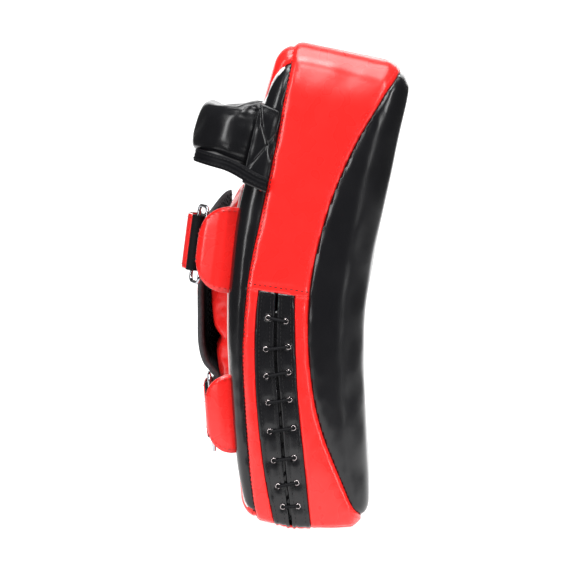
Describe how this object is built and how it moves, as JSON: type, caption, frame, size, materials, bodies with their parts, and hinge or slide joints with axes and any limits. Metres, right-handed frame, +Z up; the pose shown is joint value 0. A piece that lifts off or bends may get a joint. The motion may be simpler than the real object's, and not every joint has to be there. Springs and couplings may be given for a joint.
{
  "type": "kick pad",
  "caption": "Curved rectangular striking pad standing on end, with a laced side, a stuffed carry grip and a two-strap forearm cuff with metal rings on its back.",
  "frame": {"origin": "centre of the pad's bounding box on the plane it stands on", "axes": "+Z up along the pad from its flat end, striking face towards -Y, grip and forearm cuff towards +Y, laced side towards -X"},
  "size_m": [0.2055, 0.1859, 0.3976],
  "materials": {
    "black_leather": "glossy",
    "red_leather": "glossy",
    "black_mesh": "matte",
    "black_webbing": "matte",
    "foam": "matte",
    "chrome_wire": "polished",
    "nickel_eyelet": "polished",
    "lace_cord": "matte",
    "white_piping": "matte"
  },
  "bodies": {
    "pad": {"back_center_panel": "red_leather", "back_strip_far": "black_leather", "back_strip_near": "black_leather", "bottom_cap": "red_leather", "cuff_mesh_lining": "black_mesh", "cuff_outer": "red_leather", "eyelets_front": "nickel_eyelet", "eyelets_rear": "nickel_eyelet", "foam_firm_layer": "foam", "foam_middle_layer": "foam", "foam_strike_layer": "foam", "forearm_cushion": "red_leather", "front_cover": "black_leather", "gusset_front_near": "red_leather", "gusset_lower_far": "red_leather", "gusset_rear_near": "red_leather", "gusset_upper": "red_leather", "handle_binding": "black_webbing", "handle_core": "foam", "handle_cover": "black_leather", "handle_flap_far": "black_leather", "handle_flap_near": "black_leather", "lace": "lace_cord", "lace_facing_front": "black_leather", "lace_facing_rear": "black_leather", "lace_tongue": "black_leather", "lower_loop_patch": "black_webbing", "lower_strap": "black_webbing", "lower_tab": "red_leather", "piping_far": "white_piping", "piping_near": "white_piping", "upper_loop_patch": "black_webbing", "upper_strap": "black_webbing", "upper_tab": "red_leather"},
    "upper_ring": {"upper_ring": "chrome_wire"},
    "lower_ring": {"lower_ring": "chrome_wire"},
    "upper_tongue": {"upper_strap_tail": "black_webbing", "upper_hook_patch": "black_webbing", "upper_tongue": "red_leather"},
    "lower_tongue": {"lower_strap_tail": "black_webbing", "lower_hook_patch": "black_webbing", "lower_tongue": "red_leather"}
  },
  "joints": [
    {"name": "upper_ring_swivel", "type": "hinge", "parent": "pad", "child": "upper_ring", "pos_m": [-0.064, 0.0778, 0.23099], "axis": [0, -0.1305, 0.9914], "range_deg": [-4.5, 4.5]},
    {"name": "upper_tongue_peel", "type": "hinge", "parent": "pad", "child": "upper_tongue", "pos_m": [-0.04565, 0.0903, 0.23263], "axis": [0, -0.1305, 0.9914], "range_deg": [0, 140]},
    {"name": "lower_ring_swivel", "type": "hinge", "parent": "pad", "child": "lower_ring", "pos_m": [-0.064, 0.07106, 0.09206], "axis": [0, 0.0663, 0.9978], "range_deg": [-2.3, 2.3]},
    {"name": "lower_tongue_peel", "type": "hinge", "parent": "pad", "child": "lower_tongue", "pos_m": [-0.04413, 0.07655, 0.0917], "axis": [0, 0.0663, 0.9978], "range_deg": [0, 140]}
  ]
}
